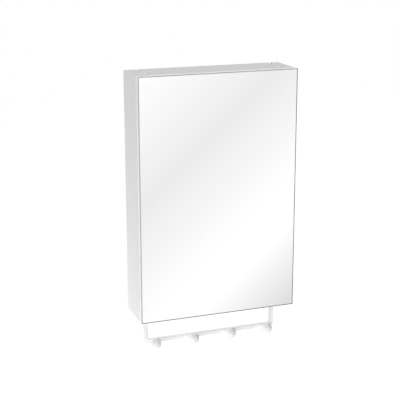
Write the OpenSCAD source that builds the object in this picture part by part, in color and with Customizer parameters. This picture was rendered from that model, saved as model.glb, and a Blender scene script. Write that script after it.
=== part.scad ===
// Wall-hung medicine cabinet with a mirror door, a push latch and a hook rail below it.
// The origin is the centre of the rear face of the cabinet. +Z is up and -Y is the front.

/* [Cabinet] */
// Width of the cabinet
cabinet_w = 500; // [420:1:800]
// Height of the cabinet, without the rail
cabinet_h = 750; // [650:1:1000]
// Depth of the carcass, without the door
carcass_d = 125.5; // [120:0.5:220]
// Thickness of the side, top and bottom panels
panel_t = 16; // [15:0.5:19]
// Thickness of the back panel
back_t = 3; // [2.5:0.5:5]
// Width of the rebate that takes the back panel
rebate_w = 8; // [5:0.5:10]
// Thickness of the edge bands
band_t = 1; // [0.4:0.1:2]
// Height of the two hanging rails
hanging_rail_h = 60; // [50:1:100]
// Thickness of the two hanging rails
hanging_rail_t = 16; // [12:0.5:19]
// Distance from the cabinet's side to the wall screws
wall_screw_inset = 70; // [50:1:100]
// Diameter of the holes for the wall screws
wall_hole_d = 5.5; // [4:0.1:8]

/* [Joints of the carcass] */
// Distance from the rear to the middle of the joint rows
joint_row_y = 64; // [60:0.5:70]
// Distance between the two cam bolts of a joint
cam_pitch = 34; // [24:0.5:40]
// Distance between the two dowels of a joint
dowel_pitch = 100; // [90:0.5:110]
// Diameter of a dowel
dowel_d = 8; // [6:0.5:10]
// Length of a dowel
dowel_l = 30; // [25:0.5:35]
// Depth of a dowel or cam bolt in the side panel
joint_depth = 11; // [9:0.5:13]
// Diameter of a cam lock
cam_d = 15; // [12:0.5:18]
// Height of a cam lock
cam_h = 12; // [10:0.5:13]
// Distance from the panel end to the centre of a cam lock
cam_reach = 24; // [20:0.5:34]
// Diameter of a cam bolt
cam_bolt_d = 6; // [5:0.5:7]

/* [Shelves] */
// Thickness of a glass shelf
shelf_t = 5; // [4:0.5:8]
// Depth of a glass shelf
shelf_d = 108; // [90:0.5:115]
// Diameter of the shaft of a shelf pin
pin_d = 5; // [4:0.5:6]
// Distance between the shelf pin holes in a row
pin_hole_pitch = 32; // [25:1:35]
// Holes above and below each shelf
spare_holes = 1; // [0:1:2]
// Diameter of the head of a shelf pin
pin_head_d = 6; // [5:0.5:8]
// Length of the head of a shelf pin
pin_head_l = 8; // [6:0.5:10]
// Diameter of the collar of a shelf pin
pin_collar_d = 8; // [7:0.5:10]
// Thickness of the collar of a shelf pin
pin_collar_t = 1.5; // [1:0.1:2]
// Depth of the holes for the shelf pins
pin_hole_depth = 10; // [8:0.5:12]
// Distance from the shelf's front and rear edges to its pins
pin_inset = 20; // [12:0.5:30]

/* [Door] */
// Gap between the carcass and the door
door_gap = 2.5; // [2.4:0.1:4]
// Thickness of the door board
board_t = 16; // [15:0.5:19]
// Thickness of the mirror pane
mirror_t = 4; // [3:0.5:6]
// Width of the bevel round the mirror
bevel_w = 2.4; // [0.8:0.1:10]
// Drop of the bevel at the edge of the mirror
bevel_drop = 1.2; // [0.4:0.1:2]
// Diameter of a door bumper
bumper_d = 8; // [6:0.5:12]

/* [Hinges] */
// Distance from the cabinet's ends to the hinges
hinge_inset = 100; // [70:1:120]
// Diameter of the hinge cup
cup_d = 26; // [26:0.5:30]
// Depth of the hinge cup
cup_depth = 12; // [11.9:0.1:12.5]
// Wall of the hinge cup
cup_wall = 0.8; // [0.5:0.1:0.9]
// Distance from the door's edge to the cup
cup_edge = 3; // [2.5:0.1:3.1]
// Thickness of the cup's flange
flange_t = 1; // [0.6:0.1:1.5]
// Distance between the screws of a cup
cup_screw_pitch = 38; // [37:0.5:45]
// Distance from the door's edge to the pivot
pivot_edge = 6.6; // [6.4:0.1:6.7]
// Distance from the carcass to the pivot
pivot_out = 11.6; // [11.5:0.1:11.7]
// Diameter of the hinge pin
hinge_pin_d = 2; // [1.5:0.1:2.2]
// Outer diameter of the rolled knuckle on the pin
knuckle_d = 3.5; // [3.2:0.1:3.6]
// Width of the knuckle
knuckle_w = 8; // [6:0.5:8.5]
// Thickness of the hinge arm's sheet
arm_t = 1.5; // [1.2:0.1:1.6]
// Width of the hinge arm
arm_w = 12; // [11:0.5:14]
// Length of the hinge arm behind the carcass front
arm_l = 52; // [46:0.5:60]
// Bend radius inside the hinge arm's hook
hook_r = 1.5; // [1:0.1:3]
// Thickness of the mounting plate
plate_t = 1; // [0.8:0.1:2]
// Height of the block on the mounting plate
block_h = 4; // [3:0.1:5]
// Diameter of the screw that holds the arm on the plate
arm_screw_d = 4; // [3:0.5:5]
// Length of the mounting plate
plate_l = 42; // [38:0.5:50]
// Width of the mounting plate
plate_w = 16; // [14:0.5:20]
// Distance from the carcass front to the plate's screws
plate_line = 37; // [34:0.5:40]
// Distance between the screws of a mounting plate
plate_screw_pitch = 32; // [28:0.5:40]

/* [Push latch] */
// Width of the latch housing, across the cabinet
latch_w = 14; // [13:0.5:18]
// Height of the latch housing
latch_h = 16; // [15:0.5:20]
// Length of the latch housing
latch_l = 60; // [50:1:70]
// Distance from the carcass front to the housing
latch_setback = 7.5; // [6:0.5:12]
// Diameter of the plunger
plunger_d = 6; // [5:0.5:8]
// Diameter of the plunger's magnet tip
tip_d = 9; // [8:0.5:12]
// Length of the plunger's magnet tip
tip_l = 4; // [3:0.5:5]
// Length of the plunger inside the housing
plunger_l = 33; // [25:0.5:36]
// Travel of the plunger when the door is pushed
latch_travel = 1.5; // [1:0.1:1.7]
// Thickness of the strike plate
strike_t = 1; // [0.8:0.1:1.5]
// Wire of the latch spring
spring_wire = 0.8; // [0.5:0.1:1]
// Turns of the latch spring
spring_turns = 6; // [4:1:8]

/* [Hook rail] */
// Distance from the inside of a side panel to the middle of an upright
rail_inset = 21.5; // [18:0.5:60]
// Distance from the wall to the middle of the rail
rail_y = 62.5; // [50:0.5:90]
// Distance from the cabinet's underside to the middle of the bar
rail_drop = 93.4; // [70:0.5:150]
// Width of the square tube
tube_w = 12; // [10:0.5:20]
// Wall of the square tube
tube_wall = 1.2; // [1:0.1:2]
// Radius of the tube's long edges
tube_edge_r = 1.5; // [1.3:0.1:3]
// Radius inside the two bends
bend_r = 2; // [2:0.5:20]
// Length of a rail foot
foot_l = 92; // [85:1:100]
// Width of a rail foot
foot_w = 20; // [14:0.5:30]
// Thickness of a rail foot
foot_t = 3; // [2:0.5:5]
// Diameter of a ball hook
ball_d = 32; // [24:0.5:40]
// Distance from the middle of an upright to the first ball hook
ball_inset = 25; // [20:0.5:50]
// Number of ball hooks
ball_count = 4; // [4]
// Distance from the bar to the nearest point of a ball
ball_gap = 7.5; // [5:0.5:12]
// Diameter of a hook's stem
stem_d = 10; // [8:0.5:14]
// Depth of the stem's seat in the ball
stem_seat = 2; // [1:0.5:4]
// Diameter of a hook's screw
hook_screw_d = 4; // [3:0.5:5]

/* [Top plugs and rail screws] */
// Distance between the two screw holes of a rail foot, and the two plugs above it
foot_screw_pitch = 74; // [72:0.5:78]
// Diameter of the holes for the rail screws and the plugs
end_hole_d = 5; // [4:0.5:6]
// Diameter of a plug's head
plug_head_d = 10; // [8:0.5:14]
// Height of a plug's head
plug_head_h = 4.5; // [2:0.5:8]
// Height of the dome on a plug's head
plug_dome_h = 1.5; // [0.5:0.1:2]
// Length of a plug's shank
plug_shank_l = 11; // [8:0.5:14]

/* [Hidden] */
$fn = 48;
half_w = cabinet_w / 2;
half_h = cabinet_h / 2;
inner_w = half_w - panel_t;
inner_h = half_h - panel_t;
front_y = -carcass_d;
door_back_y = front_y - door_gap;
board_front_y = door_back_y - board_t;
mirror_front_y = board_front_y - mirror_t;
fit_gap = 0.1;
running_gap = 0.05;
touch_gap = 0.3;
band_joint = 0.1;
eps = 0.01;
wall_screw_x = half_w - wall_screw_inset;
shelf_level = cabinet_h / 6;
bumper_t = door_gap - latch_travel;
bumper_edge = 0.3 * bumper_t;
panel_core_d = carcass_d - band_t;
back_gap = 0.5;
rail_z = half_h - panel_t - hanging_rail_h / 2;
dowel_ys = [-joint_row_y - dowel_pitch / 2, -joint_row_y + dowel_pitch / 2];
cam_ys = [-joint_row_y - cam_pitch / 2, -joint_row_y + cam_pitch / 2];
joint_z = half_h - panel_t / 2;
cam_neck_d = cam_bolt_d - 2;
dowel_in_panel = dowel_l - joint_depth;
hanging_rail_y = -back_t - hanging_rail_t / 2;
shelf_back_gap = 2;
shelf_back_y = -back_t - shelf_back_gap;
shelf_side_gap = 0.5;
shelf_half_w = inner_w - pin_collar_t - shelf_side_gap;
shelf_corner_r = 3;
pin_ys = [shelf_back_y - pin_inset, shelf_back_y - shelf_d + pin_inset];
pin_flat = 0.75 * pin_head_d / 2;
pin_shaft_l = pin_hole_depth - 1;
hinge_z = half_h - hinge_inset;
cup_r = cup_d / 2;
cup_u = cup_edge + cup_r;
pivot_x = half_w - pivot_edge;
pivot_y = front_y - pivot_out;
pin_hole_gap = 0.02;
ear_r = 4.5;
cup_screw_u = cup_u + ear_r;
knuckle_r = knuckle_d / 2;
arm_web_u = panel_t + plate_t + block_h + touch_gap;
arm_flange_t = 1.2;
arm_hook_v = pivot_out + knuckle_r;
arm_narrow_u = cup_u - cup_r / 2 - 1;
arm_free_l = 3;
block_w = arm_w - 2 * arm_flange_t - 2 * touch_gap;
block_inset = 3;
plate_ear_r = 5;
small_screw_d = 3;
small_head_d = 6;
small_head_h = 1.6;
small_screw_l = 11;
latch_x = -inner_w + latch_w / 2;
latch_front_y = front_y + latch_setback;
spring_pitch = 2.2 * spring_wire;
bore_end_gap = 2;
latch_bore_l = plunger_l + latch_travel + (spring_turns + 1) * spring_pitch + bore_end_gap;
strike_front_y = door_back_y + strike_t;
tip_y = strike_front_y + touch_gap;
strike_w = 16;
strike_h = 34;
strike_screw_pitch = 24;
latch_ear_w = 3;
latch_ear_l = 12;
latch_ear_reach = 4.5;
latch_screw_pitch = latch_h + 2 * latch_ear_reach;
rail_bar_z = -half_h - rail_drop;
tube_half = tube_w / 2;
bend_centre_r = bend_r + tube_half;
foot_z = -half_h - foot_t;
ball_y = -rail_y - tube_half - ball_gap - ball_d / 2;
stem_l = ball_gap + stem_seat;
upright_x = inner_w - rail_inset;
ball_pitch = 2 * (upright_x - ball_inset) / (ball_count - 1);
ball_xs = [for (i = [0 : ball_count - 1]) (i - (ball_count - 1) / 2) * ball_pitch];
hook_head_h = 2;
foot_screw_ys = [-joint_row_y - foot_screw_pitch / 2, -joint_row_y + foot_screw_pitch / 2];
foot_xs = [-upright_x, upright_x];
rail_screw_d = end_hole_d - 2 * fit_gap;
rail_screw_bite = 0.75 * panel_t;

board_white = [0.95, 0.95, 0.94];
steel = [0.72, 0.73, 0.75];

// General shapes

// Solid box between two corners
module box(low, high) {
    translate(low) cube(high - low);
}

// Flat outline of a rectangle with round corners, centred
module round_rect(w, h, r) {
    square([w - 2 * r, h], center = true);
    square([w, h - 2 * r], center = true);
    for (sx = [-1, 1])
        for (sy = [-1, 1])
            translate([sx * (w / 2 - r), sy * (h / 2 - r)]) circle(r);
}

// Cylinder along X that starts at x and runs towards +X
module rod_x(x, y, z, r, l) {
    translate([x, y, z]) rotate([0, 90, 0]) cylinder(h = l, r = r);
}

// Cylinder along Y that starts at y and runs towards +Y
module rod_y(x, y, z, r, l) {
    translate([x, y, z]) rotate([-90, 0, 0]) cylinder(h = l, r = r);
}

// Cylinder along Z that starts at z and runs upwards
module rod_z(x, y, z, r, l) {
    translate([x, y, z]) cylinder(h = l, r = r);
}

// Pan-head screw along +Z with its head below the seat at z = 0
module screw(d, l, head_d, head_h) {
    cylinder(h = l - d / 2, r = d / 2);
    translate([0, 0, l - d / 2]) cylinder(h = d / 2, r1 = d / 2, r2 = d / 6);
    difference() {
        translate([0, 0, -head_h]) cylinder(h = head_h, r1 = 0.8 * head_d / 2, r2 = head_d / 2);
        for (a = [0, 90])
            translate([0, 0, -head_h]) rotate(a) cube([0.5 * head_d, 0.12 * head_d, head_h], center = true);
    }
}

// The wood screw that holds plates, ears and the latch
module small_screw() {
    screw(small_screw_d, small_screw_l, small_head_d, small_head_h);
}

// Carcass

// Holes of one side panel, for the right side
module side_holes() {
    for (sz = [-1, 1]) {
        for (y = dowel_ys) rod_x(inner_w, y, sz * joint_z, dowel_d / 2 + fit_gap, joint_depth + fit_gap);
        for (y = cam_ys) rod_x(inner_w, y, sz * joint_z, cam_bolt_d / 2 + fit_gap, joint_depth + fit_gap);
        rod_x(inner_w, hanging_rail_y, sz * rail_z, dowel_d / 2 + fit_gap, joint_depth + fit_gap);
        for (y = pin_ys)
            for (k = [-spare_holes : spare_holes])
                rod_x(inner_w, y, sz * shelf_level - shelf_t / 2 - pin_flat + k * pin_hole_pitch,
                    pin_d / 2 + fit_gap, pin_hole_depth);
        for (k = [-1, 1])
            rod_x(inner_w, front_y + plate_line, sz * hinge_z + k * plate_screw_pitch / 2,
                small_screw_d / 2 + fit_gap, small_screw_l);
    }
    for (k = [-1, 1])
        rod_x(inner_w, latch_front_y + latch_l / 2, k * latch_screw_pitch / 2,
            small_screw_d / 2 + fit_gap, small_screw_l);
}

// Side panel, drawn for the right side
module side_panel() {
    color(board_white)
    difference() {
        box([inner_w, -panel_core_d, -half_h], [half_w, 0, half_h]);
        box([inner_w - 1, -back_t, -inner_h - rebate_w], [inner_w + rebate_w, 1, inner_h + rebate_w]);
        side_holes();
    }
}

module side_panel_right() {
    side_panel();
}

module side_panel_left() {
    mirror([1, 0, 0]) side_panel();
}

// End panel between the sides, drawn for the top
module end_panel() {
    color(board_white)
    difference() {
        box([-inner_w, -panel_core_d, inner_h], [inner_w, 0, half_h]);
        box([-inner_w - 1, -back_t, inner_h - 1], [inner_w + 1, 1, inner_h + rebate_w]);
        for (sx = [0, 1]) mirror([sx, 0, 0]) {
            for (y = dowel_ys)
                rod_x(inner_w - dowel_in_panel - fit_gap, y, joint_z,
                    dowel_d / 2 + fit_gap, dowel_in_panel + 1);
            for (y = cam_ys) {
                rod_x(inner_w - cam_reach, y, joint_z, cam_bolt_d / 2 + fit_gap, cam_reach + 1);
                rod_z(inner_w - cam_reach, y, inner_h - 1, cam_d / 2 + fit_gap, cam_h + 1 + fit_gap);
            }
        }
        for (x = foot_xs)
            for (y = foot_screw_ys) rod_z(x, y, inner_h - 1, end_hole_d / 2, panel_t + 2);
    }
}

module top_panel() {
    end_panel();
}

module bottom_panel() {
    mirror([0, 0, 1]) end_panel();
}

// Hole for a wall screw, through a hanging rail and the back panel
module wall_holes() {
    for (sx = [-1, 1])
        for (sz = [-1, 1])
            rod_y(sx * wall_screw_x, -back_t - hanging_rail_t - 1, sz * rail_z,
                wall_hole_d / 2, back_t + hanging_rail_t + 2);
}

module back_panel() {
    half_x = inner_w + rebate_w - back_gap;
    half_z = inner_h + rebate_w - back_gap;
    color([0.92, 0.92, 0.91])
    difference() {
        box([-half_x, -back_t, -half_z], [half_x, 0, half_z]);
        wall_holes();
    }
}

// Hanging rail behind the top or bottom panel, sign 1 or -1
module hanging_rail(sign) {
    color(board_white)
    difference() {
        translate([0, hanging_rail_y, sign * rail_z])
            cube([2 * inner_w, hanging_rail_t, hanging_rail_h], center = true);
        wall_holes();
        for (sx = [0, 1]) mirror([sx, 0, 0])
            rod_x(inner_w - dowel_in_panel - fit_gap, hanging_rail_y, sign * rail_z,
                dowel_d / 2 + fit_gap, dowel_in_panel + 1);
    }
}

// Bands on the front edges of the four carcass panels
module carcass_edge_bands() {
    color([0.97, 0.97, 0.96])
    for (s = [0, 1]) {
        mirror([s, 0, 0]) box([inner_w, front_y, -half_h], [half_w, -panel_core_d, half_h]);
        mirror([0, 0, s])
            box([-inner_w + band_joint, front_y, inner_h], [inner_w - band_joint, -panel_core_d, half_h]);
    }
}

// Dowel along X with chamfered ends, from the joint face at x = 0
module dowel() {
    tip = 1;
    translate([-dowel_in_panel, 0, 0]) rotate([0, 90, 0])
        rotate_extrude()
            polygon([[0, 0], [dowel_d / 2 - tip, 0], [dowel_d / 2, tip], [dowel_d / 2, dowel_l - tip],
                [dowel_d / 2 - tip, dowel_l], [0, dowel_l]]);
}

module dowels() {
    color([0.85, 0.72, 0.5])
    for (sx = [0, 1])
        for (sz = [0, 1])
            mirror([sx, 0, 0]) mirror([0, 0, sz]) {
                for (y = dowel_ys) translate([inner_w, y, joint_z]) dowel();
                translate([inner_w, hanging_rail_y, rail_z]) dowel();
            }
}

// Bolt that screws into a side panel and ends in a neck and a button for the cam
module cam_bolts() {
    button_l = 2;
    neck_l = cam_d / 2 + touch_gap;
    collar_l = cam_reach - neck_l;
    color(steel)
    for (sx = [0, 1])
        for (sz = [0, 1])
            mirror([sx, 0, 0]) mirror([0, 0, sz])
                for (y = cam_ys) {
                    rod_x(inner_w - collar_l, y, joint_z, cam_bolt_d / 2, collar_l + joint_depth);
                    rod_x(inner_w - cam_reach, y, joint_z, cam_neck_d / 2, neck_l + eps);
                    rod_x(inner_w - cam_reach - button_l / 2, y, joint_z, cam_bolt_d / 2, button_l);
                }
}

// Cam disc with the slot that takes the bolt's button and a cross recess in its face
module cam_lock() {
    slot_w = cam_bolt_d + 2 * touch_gap;
    neck_w = cam_neck_d + 2 * touch_gap;
    mid = panel_t / 2;
    difference() {
        cylinder(h = cam_h, r = cam_d / 2);
        translate([0, 0, mid]) rotate([0, 90, 0]) cylinder(h = cam_d, r = neck_w / 2);
        translate([0, 0, mid]) rotate([0, 90, 0]) cylinder(h = 4, r = slot_w / 2, center = true);
        translate([-cam_d / 4 + 2, -slot_w / 2, mid - slot_w / 2]) cube([cam_d / 4, slot_w, slot_w]);
        for (a = [45, 135]) rotate(a) cube([0.55 * cam_d, 1.4, 3], center = true);
    }
}

module cam_locks() {
    color([0.66, 0.66, 0.68])
    for (sx = [0, 1])
        for (sz = [0, 1])
            mirror([sx, 0, 0]) mirror([0, 0, sz])
                for (y = cam_ys) translate([inner_w - cam_reach, y, inner_h]) cam_lock();
}

// Shelves

module shelf(level) {
    color([0.8, 0.92, 0.88, 0.5])
    translate([0, shelf_back_y - shelf_d / 2, level - shelf_t / 2])
        linear_extrude(shelf_t) round_rect(2 * shelf_half_w, shelf_d, shelf_corner_r);
}

// Pin with a shaft in the panel, a collar and a head cut flat under the shelf
module shelf_pin() {
    rotate([0, 90, 0]) cylinder(h = pin_shaft_l, r = pin_d / 2);
    translate([-pin_collar_t, 0, 0]) rotate([0, 90, 0]) cylinder(h = pin_collar_t, r = pin_collar_d / 2);
    difference() {
        translate([-pin_collar_t - pin_head_l, 0, 0]) rotate([0, 90, 0])
            cylinder(h = pin_head_l, r = pin_head_d / 2);
        translate([-pin_collar_t - pin_head_l - 1, -pin_head_d, pin_flat])
            cube([pin_head_l + 1, 2 * pin_head_d, pin_head_d]);
    }
}

module shelf_pins() {
    color([0.8, 0.8, 0.82])
    for (sx = [0, 1])
        for (level = [-shelf_level, shelf_level])
            mirror([sx, 0, 0])
                for (y = pin_ys) translate([inner_w, y, level - shelf_t / 2 - pin_flat]) shelf_pin();
}

// Hinges, drawn in plan: u runs inwards from the right side and v runs out from the carcass front

// Puts a plan outline at its height and gives it its width along Z
module hinge_plan(sign, w) {
    translate([half_w, front_y, sign * hinge_z - w / 2]) mirror([1, 0, 0]) mirror([0, 1, 0])
        linear_extrude(w) children();
}

// Puts a shape drawn in u, v and z at the hinge, sign 1 for the upper one and -1 for the lower one
module hinge_place(sign) {
    translate([half_w, front_y, sign * hinge_z]) mirror([1, 0, 0]) mirror([0, 1, 0]) children();
}

// Quarter of a ring that joins a strip along -u to a strip along -v
module hook_bend() {
    intersection() {
        difference() {
            circle(hook_r + arm_t);
            circle(hook_r);
        }
        square(hook_r + arm_t + 1);
    }
}

// Web and hook of the arm, up to the pin
module arm_strip() {
    bend_u = arm_web_u - hook_r;
    bend_v = arm_hook_v - arm_t - hook_r;
    translate([arm_web_u, -arm_l]) square([arm_t, arm_l + bend_v]);
    translate([bend_u, bend_v]) hook_bend();
    translate([pivot_edge, arm_hook_v - arm_t]) square([bend_u - pivot_edge, arm_t]);
}

// Part of the plan near the pin, where the arm is narrower
module knuckle_zone() {
    translate([-1, -arm_l - 1]) square([arm_narrow_u + 1, arm_l + pivot_out + 2 * knuckle_d]);
}

// Gooseneck arm: a channel over the plate's block, a hook into the cup and a knuckle rolled round the pin
module hinge_arm(sign) {
    flange_depth = block_h - touch_gap;
    color(steel)
    difference() {
        union() {
            hinge_plan(sign, arm_w) difference() {
                arm_strip();
                knuckle_zone();
            }
            hinge_plan(sign, knuckle_w) arm_strip();
            hinge_plan(sign, knuckle_w) translate([pivot_edge, pivot_out]) circle(knuckle_r);
            hinge_place(sign)
                for (sz = [-1, 1])
                    translate([arm_web_u - flange_depth, -arm_l, sz * (arm_w - arm_flange_t) / 2])
                        translate([0, 0, -arm_flange_t / 2])
                            cube([flange_depth + eps, arm_l - arm_free_l, arm_flange_t]);
        }
        rod_z(pivot_x, pivot_y, sign * hinge_z - arm_w, hinge_pin_d / 2 + running_gap, 2 * arm_w);
        hinge_place(sign)
            translate([arm_web_u - 1, -plate_line, 0]) rotate([0, 90, 0])
                cylinder(h = arm_t + 2, r = arm_screw_d / 2 + fit_gap);
    }
}

// Mounting plate with two screw ears and the block that carries the arm
module hinge_plate(sign) {
    plate_start = -plate_line - plate_l / 2;
    color(steel)
    hinge_place(sign) difference() {
        union() {
            translate([panel_t, -plate_line, 0]) rotate([0, 90, 0]) rotate(90)
                linear_extrude(plate_t) {
                    round_rect(plate_l, plate_w, block_inset);
                    square([2 * plate_ear_r, plate_screw_pitch], center = true);
                    for (k = [-1, 1]) translate([0, k * plate_screw_pitch / 2]) circle(plate_ear_r);
                }
            translate([panel_t + plate_t - eps, plate_start + block_inset, -block_w / 2])
                cube([block_h + eps, plate_l - 2 * block_inset, block_w]);
        }
        for (k = [-1, 1])
            translate([panel_t - 1, -plate_line, k * plate_screw_pitch / 2]) rotate([0, 90, 0])
                cylinder(h = plate_t + 2, r = small_screw_d / 2 + fit_gap);
        translate([panel_t + plate_t, -plate_line, 0]) rotate([0, 90, 0])
            cylinder(h = block_h + 1, r = arm_screw_d / 2 + fit_gap);
    }
}

module hinge_plate_screws() {
    color(steel)
    for (sign = [-1, 1])
        for (k = [-1, 1])
            translate([inner_w - plate_t, front_y + plate_line, sign * hinge_z + k * plate_screw_pitch / 2])
                rotate([0, 90, 0]) small_screw();
}

// Screws that hold the arms on their plates
module hinge_arm_screws() {
    head_h = 0.45 * arm_screw_d;
    color(steel)
    for (sign = [-1, 1])
        translate([half_w - arm_web_u - arm_t, front_y + plate_line, sign * hinge_z])
            rotate([0, 90, 0]) screw(arm_screw_d, arm_t + block_h, 1.8 * arm_screw_d, head_h);
}

// Outline of the cup's flange, with u to the right and z up
module flange_outline() {
    translate([cup_u, 0]) circle(cup_r);
    translate([cup_screw_u - ear_r, -cup_screw_pitch / 2]) square([2 * ear_r, cup_screw_pitch]);
    for (k = [-1, 1]) translate([cup_screw_u, k * cup_screw_pitch / 2]) circle(ear_r);
}

// Cup pressed into the door board, with its flange on the board and the holes for the pin
module hinge_cup(sign) {
    color(steel)
    difference() {
        hinge_place(sign) difference() {
            union() {
                translate([cup_u, door_gap - eps, 0]) rotate([-90, 0, 0])
                    cylinder(h = cup_depth + eps, r = cup_r);
                translate([0, door_gap, 0]) rotate([90, 0, 0]) linear_extrude(flange_t) flange_outline();
            }
            translate([cup_u, door_gap - flange_t - 1, 0]) rotate([-90, 0, 0])
                cylinder(h = cup_depth + flange_t + 1 - cup_wall, r = cup_r - cup_wall);
            for (k = [-1, 1])
                translate([cup_screw_u, door_gap - flange_t - 1, k * cup_screw_pitch / 2]) rotate([-90, 0, 0])
                    cylinder(h = flange_t + 2, r = small_screw_d / 2 + fit_gap);
        }
        rod_z(pivot_x, pivot_y, sign * hinge_z - cup_d, hinge_pin_d / 2 + pin_hole_gap, 2 * cup_d);
    }
}

// Pins through both walls of the cups, with their ends ground flush with the round of the cup
module hinge_pins() {
    color([0.6, 0.61, 0.63])
    for (sign = [-1, 1])
        intersection() {
            rod_z(pivot_x, pivot_y, sign * hinge_z - cup_d, hinge_pin_d / 2, 2 * cup_d);
            rod_y(half_w - cup_u, door_back_y - cup_depth, sign * hinge_z, cup_r - cup_wall / 4, cup_depth);
        }
}

// Heights of the two screws of a cup
function cup_screw_zs(sign) = [for (k = [-1, 1]) sign * hinge_z + k * cup_screw_pitch / 2];

module hinge_cup_screws() {
    color(steel)
    for (sign = [-1, 1])
        for (z = cup_screw_zs(sign))
            translate([half_w - cup_screw_u, door_back_y + flange_t, z]) rotate([90, 0, 0]) small_screw();
}

// Push latch

// Outline of the latch housing seen from the front, with the ears against the side panel
module latch_section() {
    round_rect(latch_w, latch_h, 2);
    translate([-latch_w / 4, 0]) square([latch_w / 2, latch_h], center = true);
}

module latch_housing() {
    color([0.93, 0.93, 0.92])
    difference() {
        union() {
            translate([latch_x, latch_front_y + latch_l, 0]) rotate([90, 0, 0])
                linear_extrude(latch_l) latch_section();
            translate([-inner_w, latch_front_y + latch_l / 2, 0]) rotate([0, 90, 0])
                linear_extrude(latch_ear_w) {
                    square([latch_screw_pitch, latch_ear_l], center = true);
                    for (k = [-1, 1]) translate([k * latch_screw_pitch / 2, 0]) circle(latch_ear_l / 2);
                }
        }
        rod_y(latch_x, latch_front_y - 1, 0, plunger_d / 2 + running_gap, latch_bore_l + 1);
        for (k = [-1, 1])
            rod_x(-inner_w - 1, latch_front_y + latch_l / 2, k * latch_screw_pitch / 2,
                small_screw_d / 2 + fit_gap, latch_ear_w + 2);
    }
}

module latch_screws() {
    color(steel)
    for (k = [-1, 1])
        translate([-inner_w + latch_ear_w, latch_front_y + latch_l / 2, k * latch_screw_pitch / 2])
            rotate([0, -90, 0]) small_screw();
}

// Plunger with a magnet tip, held out by the spring behind it
module latch_plunger() {
    edge = 0.5;
    stem_start = tip_y + tip_l;
    stem_end = latch_front_y + plunger_l;
    color([0.55, 0.56, 0.58]) {
        translate([latch_x, tip_y, 0]) rotate([-90, 0, 0])
            rotate_extrude()
                polygon([[0, 0], [tip_d / 2 - edge, 0], [tip_d / 2, edge], [tip_d / 2, tip_l], [0, tip_l]]);
        rod_y(latch_x, stem_start - eps, 0, plunger_d / 2, stem_end - stem_start + eps);
    }
}

// Point of the spring wire's outline: turns t, outline angle b and coil radius r
function wire_point(t, b, r) = [
    (r + spring_wire / 2 * cos(b)) * cos(360 * t),
    spring_pitch * t + spring_wire / 2 * sin(b),
    (r + spring_wire / 2 * cos(b)) * sin(360 * t)
];

// Coil spring behind the plunger, at its length with the plunger pushed in
module latch_spring() {
    sides = 6;
    steps = 12;
    coil_r = plunger_d / 2 - spring_wire / 2 - touch_gap / 2;
    rings = spring_turns * steps;
    points = [for (i = [0 : rings], k = [0 : sides - 1]) wire_point(i / steps, 360 * k / sides, coil_r)];
    walls = [for (i = [0 : rings - 1], k = [0 : sides - 1], half = [0, 1])
        let (a = i * sides + k, b = i * sides + (k + 1) % sides)
            half == 0 ? [a, b, b + sides] : [a, b + sides, a + sides]];
    first = [for (k = [1 : sides - 2]) [0, k + 1, k]];
    base = rings * sides;
    last = [for (k = [1 : sides - 2]) [base, base + k, base + k + 1]];
    start = latch_front_y + plunger_l + latch_travel + spring_wire;
    color(steel)
    translate([latch_x, start, 0]) polyhedron(points = points, faces = concat(walls, first, last));
}

module latch_strike() {
    color(steel)
    translate([latch_x, door_back_y, 0]) difference() {
        rotate([-90, 0, 0]) linear_extrude(strike_t) round_rect(strike_w, strike_h, 2);
        for (k = [-1, 1]) rod_y(0, -1, k * strike_screw_pitch / 2, small_screw_d / 2 + fit_gap, strike_t + 2);
    }
}

module strike_screws() {
    color(steel)
    for (k = [-1, 1])
        translate([latch_x, strike_front_y, k * strike_screw_pitch / 2]) rotate([90, 0, 0])
            screw(small_screw_d, small_screw_l, small_head_d, strike_t / 2);
}

// Pads on the carcass that the free edge of the door closes against
module door_bumpers() {
    color([0.85, 0.87, 0.88])
    for (sz = [-1, 1])
        translate([-half_w + panel_t / 2, front_y - bumper_t, sz * (half_h - panel_t)]) rotate([-90, 0, 0])
            rotate_extrude()
                polygon([[0, 0], [bumper_d / 2 - bumper_edge, 0], [bumper_d / 2, bumper_edge],
                    [bumper_d / 2, bumper_t], [0, bumper_t]]);
}

// Door

module door_board() {
    color(board_white)
    difference() {
        box([-half_w + band_t, board_front_y, -half_h + band_t],
            [half_w - band_t, door_back_y, half_h - band_t]);
        for (sign = [-1, 1]) {
            rod_y(half_w - cup_u, door_back_y - cup_depth - fit_gap, sign * hinge_z,
                cup_r + fit_gap, cup_depth + 1 + fit_gap);
            for (z = cup_screw_zs(sign))
                rod_y(half_w - cup_screw_u, door_back_y - small_screw_l, z,
                    small_screw_d / 2 + fit_gap, small_screw_l + 1);
        }
        for (k = [-1, 1])
            rod_y(latch_x, door_back_y - small_screw_l, k * strike_screw_pitch / 2,
                small_screw_d / 2 + fit_gap, small_screw_l + 1);
    }
}

// Bands on the four edges of the door board
module door_edge_bands() {
    color([0.97, 0.97, 0.96])
    for (s = [0, 1]) {
        mirror([s, 0, 0])
            box([half_w - band_t, board_front_y, -half_h], [half_w, door_back_y, half_h]);
        mirror([0, 0, s])
            box([-half_w + band_t + band_joint, board_front_y, half_h - band_t],
                [half_w - band_t - band_joint, door_back_y, half_h]);
    }
}

// Wedge that cuts the bevel from one edge of the mirror, along an edge of length l
module bevel_cut(l) {
    translate([0, 0, -l / 2 - 1]) linear_extrude(l + 2)
        polygon([[-bevel_w, 0], [-bevel_w, -1], [1, -1], [1, bevel_drop + bevel_drop / bevel_w]]);
}

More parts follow.
